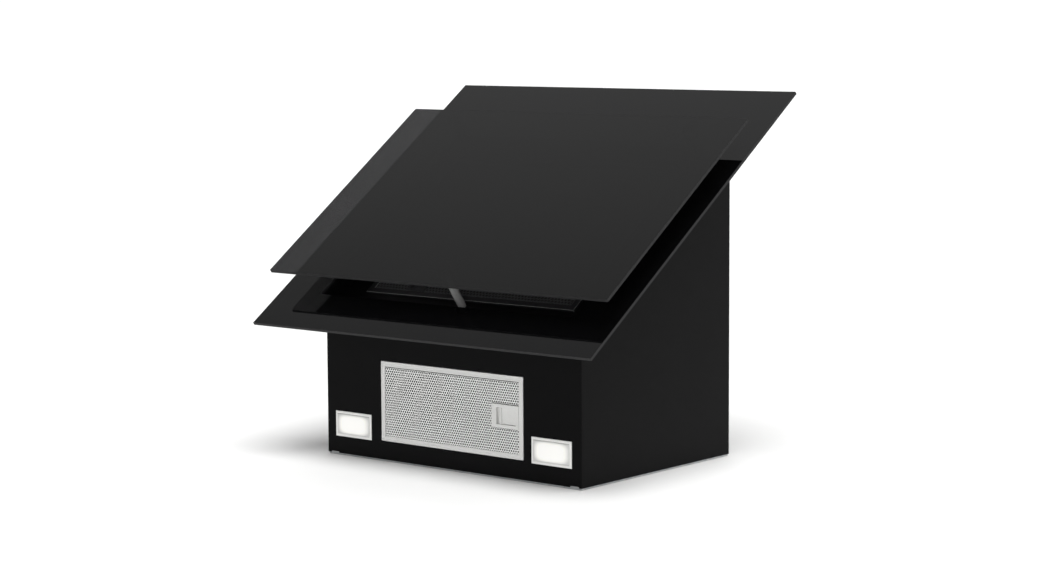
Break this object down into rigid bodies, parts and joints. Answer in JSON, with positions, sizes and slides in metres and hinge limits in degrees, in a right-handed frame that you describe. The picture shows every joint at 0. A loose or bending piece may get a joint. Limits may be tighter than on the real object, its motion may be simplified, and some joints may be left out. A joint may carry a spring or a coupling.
{
  "type": "angled extractor hood",
  "caption": "Wall-mounted angled extractor hood with a fixed glass face, a swing-out glass panel over a recessed grease filter, a lower filter, lamps, blower and duct collar.",
  "frame": {"origin": "centre of the four wall fixing holes, on the wall face", "axes": "+X to the right seen from the front, +Y up the wall in use, +Z away from the wall"},
  "size_m": [0.59, 0.4504, 0.4977],
  "materials": {
    "black_paint": "satin black powder coat",
    "tray_paint": "matt black paint",
    "fixed_glass": "black-backed float glass, polished edges",
    "tinted_glass": "dark tinted float glass, polished edges",
    "zinc": "galvanised sheet",
    "steel": "bright turned steel",
    "screw_steel": "zinc-plated screw",
    "filter_frame": "satin aluminium profile",
    "filter_mesh": "expanded aluminium mesh",
    "filter_handle": "light grey moulded plastic",
    "dark_frame": "dark grey paint",
    "dark_mesh": "dark perforated sheet",
    "dark_handle": "dark grey moulded plastic",
    "catch_metal": "satin nickel",
    "hinge_metal": "black painted steel",
    "black_plastic": "black moulded plastic",
    "grey_plastic": "dark glass-filled nylon",
    "white_plastic": "off-white moulded plastic",
    "lamp_rim": "light grey moulded plastic",
    "lamp_lens": "opal diffuser",
    "circuit_board": "solder-masked board",
    "motor_metal": "die-cast housing",
    "rubber": "black rubber"
  },
  "bodies": {
    "housing": {"wall_plate": "zinc", "left_side_panel": "black_paint", "right_side_panel": "black_paint", "lamp_panel": "black_paint", "outlet_panel": "black_paint", "corner_angles": "zinc", "glass_brackets": "zinc", "panel_screws": "screw_steel", "filter_tray": "tray_paint", "fixed_glass": "fixed_glass", "touch_board": "circuit_board", "catch_pin": "catch_metal", "left_hinge_post": "hinge_metal", "right_hinge_post": "hinge_metal", "blower_scroll": "zinc", "blower_left_side": "zinc", "blower_right_side": "zinc", "blower_feet": "rubber", "blower_screws": "screw_steel", "motor": "motor_metal", "motor_bracket": "zinc", "capacitor": "white_plastic", "outlet_collar": "black_plastic", "collar_screws": "screw_steel", "flap_axle": "steel", "control_box": "white_plastic", "control_lid": "white_plastic", "main_board": "circuit_board", "terminal_block": "white_plastic", "cable_gland": "black_plastic", "lamp_driver": "white_plastic", "left_lamp_bezel": "lamp_rim", "left_lamp_lens": "lamp_lens", "left_lamp_board": "circuit_board", "right_lamp_bezel": "lamp_rim", "right_lamp_lens": "lamp_lens", "right_lamp_board": "circuit_board"},
    "swing_panel": {"swing_glass": "tinted_glass", "left_hinge_leaf": "hinge_metal", "right_hinge_leaf": "hinge_metal", "hinge_pins": "steel", "catch_socket": "black_plastic"},
    "impeller": {"impeller_disc": "grey_plastic", "impeller_blades": "grey_plastic", "motor_shaft": "steel"},
    "left_flap": {"left_flap": "grey_plastic"},
    "right_flap": {"right_flap": "grey_plastic"},
    "small_filter": {"small_filter_frame": "filter_frame", "small_filter_face": "filter_mesh", "small_filter_core": "filter_mesh", "small_filter_back": "filter_mesh", "small_filter_handle": "filter_handle"},
    "small_filter_slider": {"small_filter_slider": "filter_handle"},
    "large_filter": {"large_filter_frame": "dark_frame", "large_filter_face": "dark_mesh", "large_filter_core": "filter_mesh", "large_filter_back": "dark_mesh", "large_filter_handle": "dark_handle"},
    "large_filter_slider": {"large_filter_slider": "dark_handle"}
  },
  "joints": [
    {"name": "panel_hinge", "type": "hinge", "parent": "housing", "child": "swing_panel", "pos_m": [0, 0.09914, 0.43679], "axis": [-1, 0, 0], "range_deg": [0, 70]},
    {"name": "small_filter_tilt", "type": "hinge", "parent": "housing", "child": "small_filter", "pos_m": [-0.121, -0.1595, 0.0829], "axis": [0, 0, -1], "range_deg": [0, 70]},
    {"name": "small_filter_latch", "type": "slide", "parent": "small_filter", "child": "small_filter_slider", "axis": [-1, 0, 0], "range_m": [0, 0.0045], "stiffness_N_per_m": 150, "springref_m": -0.006},
    {"name": "large_filter_tilt", "type": "hinge", "parent": "housing", "child": "large_filter", "pos_m": [0, 0.12102, 0.38985], "axis": [-1, 0, 0], "range_deg": [0, 8]},
    {"name": "large_filter_latch", "type": "slide", "parent": "large_filter", "child": "large_filter_slider", "axis": [0, 0.8192, 0.5736], "range_m": [0, 0.0045], "stiffness_N_per_m": 150, "springref_m": -0.006},
    {"name": "impeller_spin", "type": "hinge", "parent": "housing", "child": "impeller", "pos_m": [0, -0.01, 0.104], "axis": [1, 0, 0], "continuous": true},
    {"name": "left_flap_turn", "type": "hinge", "parent": "housing", "child": "left_flap", "pos_m": [0, 0.18, 0.164], "axis": [0, 0, -1], "range_deg": [0, 80]},
    {"name": "right_flap_turn", "type": "hinge", "parent": "housing", "child": "right_flap", "pos_m": [0, 0.18, 0.164], "axis": [0, 0, 1], "range_deg": [0, 80]}
  ]
}
